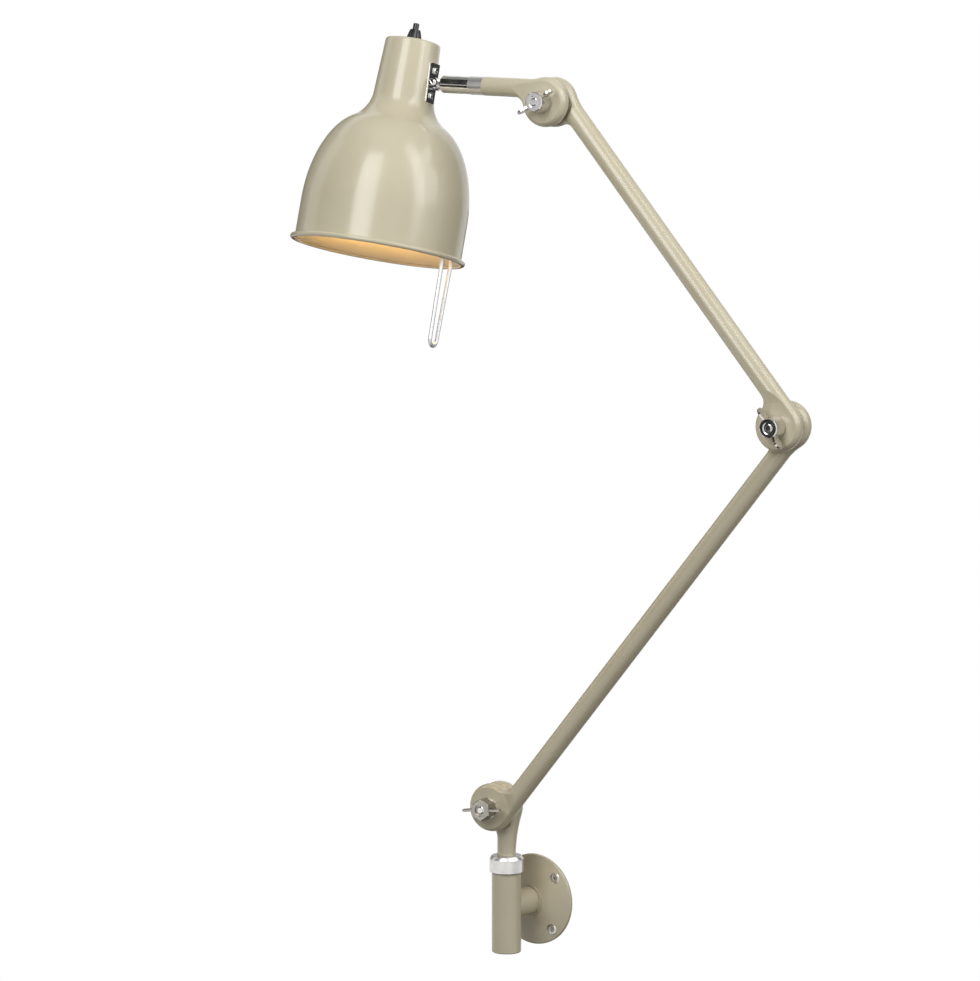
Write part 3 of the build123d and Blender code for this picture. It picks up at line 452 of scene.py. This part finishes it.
reaches = [(vert.co - tilt_pin).dot(tilt_line) for vert in nodes["tilt_screw"].data.vertices]
tilt_crown = -min(reaches)
tilt_end = -max(reaches)
work = bmesh.new()
turned_outline(
    work,
    [
        (0.0, tilt_crown),
        (0.0021, tilt_crown),
        (0.0026, tilt_crown - 0.0005),
        (0.0027, tilt_crown - 0.0010),
        (0.0027, tilt_crown - 0.0016),
        (0.0015, tilt_crown - 0.0016),
        (0.0015, tilt_end),
        (0.0, tilt_end),
    ],
    steps=32,
)
cut_slot(work, tilt_crown, half_width=0.0004, depth=0.0008)
work.transform(stand_at(tilt_pin, -tilt_line, shade_up + inward))
fit_piece("slotted_tilt_screw", work, chrome_plate, "shade", "chrome", "tilt_screw", sharp=30.0)

# Shade. One spun steel sheet, a neck that flows into an oval bell with a rolled rim. It is enamelled in the
# same cream outside and in white inside, up to the roll of the rim.
white_enamel = finish_of(
    "white_enamel",
    enamel_skin,
    {"Full Coat": (0.66, 0.62, 0.52, 1.0), "Thin Coat": (0.62, 0.57, 0.46, 1.0), "Gloss": 0.45},
    relief=0.06,
    relief_height=0.0002,
)
white_depth = 0.1585
facing_in = -0.1
facing_down = -0.9
shade_top = Vector(joints["bulb_turn"]["pos_m"])
work = bmesh.new()
work.from_mesh(nodes["shade"].data)
bmesh.ops.remove_doubles(work, verts=work.verts, dist=same_point)
work.normal_update()
for face in work.faces:
    from_top = face.calc_center_median() - shade_top
    depth = -from_top.dot(shade_up)
    outward = from_top + shade_up * depth
    turned_in = face.normal.dot(outward) < facing_in * outward.length
    turned_down = face.normal.dot(shade_up) < facing_down
    if (turned_in or turned_down) and depth < white_depth:
        face.material_index = 1
shade = fit_piece("spun_shade", work, cream_enamel, "shade", "cream_paint", "shade", sharp=40.0)
shade.data.materials.append(white_enamel)

# Lampholder. A black moulded screw socket on a threaded steel nipple. A bent steel strap inside the neck,
# under the ends of the bracket's screws, carries it.
black_moulding = finish_of(
    "black_moulding",
    enamel_skin,
    {"Full Coat": (0.011, 0.011, 0.012, 1.0), "Thin Coat": (0.017, 0.016, 0.016, 1.0), "Gloss": 0.26},
    relief=0.05,
    relief_height=0.0001,
)
coat_node("lampholder", black_moulding)
coat_node("lampholder_nipple", zinc_plate)
coat_node("lampholder_strap", zinc_plate)

# Lamp. A pear-shaped opal glass with a rolled screw cap, screwed into the socket. It is lit, and glows a
# warm yellow that fills the inside of the shade.
opal_glass = finish_of(
    "opal_glass",
    enamel_skin,
    {"Full Coat": (0.88, 0.84, 0.76, 1.0), "Thin Coat": (0.85, 0.80, 0.70, 1.0), "Gloss": 0.18},
    relief=0.02,
    relief_height=0.0001,
)
glow = opal_glass.node_tree.nodes["Principled BSDF"]
glow.inputs["Emission Color"].default_value = (1.0, 0.60, 0.20, 1.0)
glow.inputs["Emission Strength"].default_value = 11.5
coat_node("bulb_glass", opal_glass)
coat_node("bulb_cap", zinc_plate)

# Push switch. A black moulded switch under the neck's top, whose threaded bush comes through the sheet. A
# tapered nut with eight flutes for the fingers holds it, and a round plunger stands out of the nut.
coat_node("switch_body", black_moulding)
coat_node("switch_plunger", black_moulding)
nut_bore = 0.00405
flute_foot = 0.0007
flute_top = 0.0078
flute_count = 8
flute_depth = 0.10
work = bmesh.new()
turned_outline(
    work,
    [
        (nut_bore, 0.0),
        (0.0065, 0.0),
        (0.0063, flute_foot),
        (0.0053, 0.0042),
        (0.0043, flute_top),
        (0.0038, 0.0088),
        (0.00235, 0.0088),
        (0.00235, 0.00465),
        (nut_bore, 0.00465),
    ],
    steps=64,
    closed=True,
)
for vert in work.verts:
    on_side = flute_foot - same_point < vert.co.z < flute_top + same_point
    if on_side and vert.co.xy.length > nut_bore + same_point:
        wave = 0.5 + 0.5 * cos(flute_count * atan2(vert.co.y, vert.co.x))
        vert.co.xy *= 1.0 - flute_depth * wave**2
work.transform(stand_at(shade_top, shade_up, tilt_line))
fit_piece("fluted_switch_nut", work, black_moulding, "shade", "black_moulding", "switch_nut", sharp=38.0)

# Guide loop. A hairpin of matt nickel-plated wire to steer the shade by. Its two legs are held against the
# inside of the bell by a saddle clip of plain plated steel.
matt_nickel = plated("matt_nickel", (0.62, 0.63, 0.64, 1.0), (0.58, 0.59, 0.60, 1.0), 0.46, relief=0.02)
coat_node("guide_loop", matt_nickel)
coat_node("loop_clip", zinc_plate)

# Camera. A long lens in front of the lamp and to its right, at the height of the shade and turned a little
# down. The wall plate, whose back is the origin, lies low in the picture.
picture_width = 980.0
picture_height = 981.0
origin_column = 535.5
origin_row = 898.4
azimuth = radians(37.0)
elevation = radians(5.5)
focal = 4200.0
reach = 3.2592
sensor = 36.0
back = Vector((sin(azimuth) * cos(elevation), -cos(azimuth) * cos(elevation), sin(elevation)))
right = Vector((cos(azimuth), sin(azimuth), 0.0))
above = back.cross(right)
aside = (origin_column - picture_width / 2) / focal
raised = (origin_row - picture_height / 2) / focal
camera_data = bpy.data.cameras.new("camera")
camera_data.sensor_width = sensor
camera_data.lens = focal / picture_height * sensor
camera_data.clip_end = 50.0
camera = bpy.data.objects.new("camera", camera_data)
bpy.context.scene.collection.objects.link(camera)
camera.location = (back - right * aside + above * raised) * reach
camera.rotation_mode = "QUATERNION"
camera.rotation_quaternion = (-back).to_track_quat("-Z", "Y")
bpy.context.scene.camera = camera

# Floor. A pale seamless ground well below the lamp, which catches its shadow and throws a little light back.
# It looks white to the camera and in the plated pieces, without being a light of its own.
floor_half = 6.0
floor_level = -0.6
work = bmesh.new()
bmesh.ops.create_grid(work, x_segments=1, y_segments=1, size=floor_half)
bmesh.ops.translate(work, verts=work.verts, vec=(0.0, 0.0, floor_level))
floor_mesh = bpy.data.meshes.new("floor")
work.to_mesh(floor_mesh)
work.free()
floor = bpy.data.objects.new("floor", floor_mesh)
bpy.context.scene.collection.objects.link(floor)
pale_floor = bpy.data.materials.new("pale_floor")
pale_floor.use_nodes = True
floor_tree = pale_floor.node_tree
floor_paint = floor_tree.nodes["Principled BSDF"]
floor_paint.inputs["Base Color"].default_value = (0.45, 0.43, 0.39, 1.0)
floor_paint.inputs["Roughness"].default_value = 0.9


def seen_directly(tree):
    """One for rays from the camera, from gloss and through glass, zero for light that falls on the lamp."""
    path = tree.nodes.new("ShaderNodeLightPath")
    mirrored = tree.nodes.new("ShaderNodeMath")
    mirrored.operation = "MAXIMUM"
    seen = tree.nodes.new("ShaderNodeMath")
    seen.operation = "MAXIMUM"
    tree.links.new(path.outputs["Is Glossy Ray"], mirrored.inputs[0])
    tree.links.new(path.outputs["Is Transmission Ray"], mirrored.inputs[1])
    tree.links.new(path.outputs["Is Camera Ray"], seen.inputs[0])
    tree.links.new(mirrored.outputs["Value"], seen.inputs[1])
    return seen.outputs["Value"]


white = floor_tree.nodes.new("ShaderNodeEmission")
white_or_paint = floor_tree.nodes.new("ShaderNodeMixShader")
floor_tree.links.new(seen_directly(floor_tree), white_or_paint.inputs["Fac"])
floor_tree.links.new(floor_paint.outputs["BSDF"], white_or_paint.inputs[1])
floor_tree.links.new(white.outputs["Emission"], white_or_paint.inputs[2])
floor_tree.links.new(white_or_paint.outputs["Shader"], floor_tree.nodes["Material Output"].inputs["Surface"])
pale_floor.cycles.emission_sampling = "NONE"
floor_mesh.materials.append(pale_floor)

# Cards. Sheets of black, grey and pale card round the lamp, above it and on the floor, that only its gloss
# and plating mirror. They give the chrome its dark bands, and neither light the lamp nor shade it.
level_across = Vector((0.87, -0.5, 0.0))
for name, tone, spot, facing, width, height in (
    ("left_low_card", 0.02, (-0.41, -0.64, 0.39), (0.5, 0.87, 0.0), 0.73, 0.38),
    ("left_middle_card", 0.75, (-0.41, -0.64, 0.625), (0.5, 0.87, 0.0), 0.73, 0.09),
    ("left_high_card", 0.02, (-0.41, -0.64, 1.28), (0.5, 0.87, 0.0), 0.73, 1.22),
    ("elbow_card", 0.02, (0.154, -0.255, 0.365), (0.44, 0.90, 0.0), 0.13, 0.13),
    ("rear_card", 0.20, (0.95, 1.41, 0.75), (-0.56, -0.83, 0.0), 1.60, 3.00),
    ("ceiling_card", 0.32, (-0.1, -0.1, 1.9), (0.0, 0.0, -1.0), 2.20, 2.20),
    ("floor_card", 0.10, (0.35, 0.75, -0.59), (0.0, 0.0, 1.0), 1.50, 2.60),
    ("side_card", 0.12, (-1.35, 0.45, 0.85), (0.95, -0.31, 0.0), 1.10, 1.30),
    ("bracket_card", 0.03, (0.36, 0.73, 0.47), (-0.435, -0.90, 0.0), 0.22, 0.30),
    ("low_rear_card", 0.03, (-0.90, 1.15, 0.02), (0.60, -0.80, 0.0), 0.90, 0.90),
):
    card_stock = bpy.data.materials.new(name)
    card_stock.use_nodes = True
    card_face = card_stock.node_tree.nodes["Principled BSDF"]
    card_face.inputs["Base Color"].default_value = (0.0, 0.0, 0.0, 1.0)
    card_face.inputs["Emission Color"].default_value = (tone, tone, tone, 1.0)
    card_face.inputs["Emission Strength"].default_value = 1.0
    card_face.inputs["Specular IOR Level"].default_value = 0.0
    card_stock.cycles.emission_sampling = "NONE"
    across = Vector((0, 0, 1)).cross(facing) if facing[2] == 0.0 else level_across
    work = bmesh.new()
    bmesh.ops.create_grid(work, x_segments=1, y_segments=1, size=0.5)
    bmesh.ops.scale(work, verts=work.verts, vec=(width, height, 1.0))
    work.transform(stand_at(spot, facing, across))
    card_mesh = bpy.data.meshes.new(name)
    work.to_mesh(card_mesh)
    work.free()
    card_mesh.materials.append(card_stock)
    card = bpy.data.objects.new(name, card_mesh)
    bpy.context.scene.collection.objects.link(card)
    card.visible_camera = False
    card.visible_diffuse = False
    card.visible_shadow = False

# Surround and lights. A white surround that lights the lamp softly, an upright soft box in front of the wall
# and another to the right, a large fill beyond that one, a weak box overhead, and one behind the lamp that
# only matt surfaces show.
world = bpy.data.worlds.new("studio")
bpy.context.scene.world = world
world.use_nodes = True
world_tree = world.node_tree
surround = world_tree.nodes["Background"]
surround.inputs["Color"].default_value = (1.0, 1.0, 1.0, 1.0)
level = world_tree.nodes.new("ShaderNodeMapRange")
level.inputs["To Min"].default_value = 0.17
level.inputs["To Max"].default_value = 1.0
world_tree.links.new(seen_directly(world_tree), level.inputs["Value"])
world_tree.links.new(level.outputs["Result"], surround.inputs["Strength"])
lit_middle = Vector((-0.05, -0.1, 0.55))
for name, spot, width, height, power in (
    ("front_box", (0.17, -1.39, 1.25), 0.77, 1.40, 18.5),
    ("right_box", (1.14, -0.19, 1.25), 0.38, 1.40, 5.5),
    ("right_fill", (1.60, 0.40, 1.35), 1.4, 1.4, 15.0),
    ("top_box", (0.0, -0.3, 2.0), 1.2, 1.2, 3.0),
    ("rear_box", (-1.08, 1.43, 0.75), 0.8, 0.8, 9.0),
):
    box_data = bpy.data.lights.new(name, "AREA")
    box_data.shape = "RECTANGLE"
    box_data.size = width
    box_data.size_y = height
    box_data.energy = power
    soft_box = bpy.data.objects.new(name, box_data)
    bpy.context.scene.collection.objects.link(soft_box)
    soft_box.location = spot
    soft_box.visible_glossy = name != "rear_box"
    soft_box.rotation_mode = "QUATERNION"
    soft_box.rotation_quaternion = (Vector(spot) - lit_middle).to_track_quat("Z", "Y")
bpy.context.scene.view_settings.view_transform = "Standard"
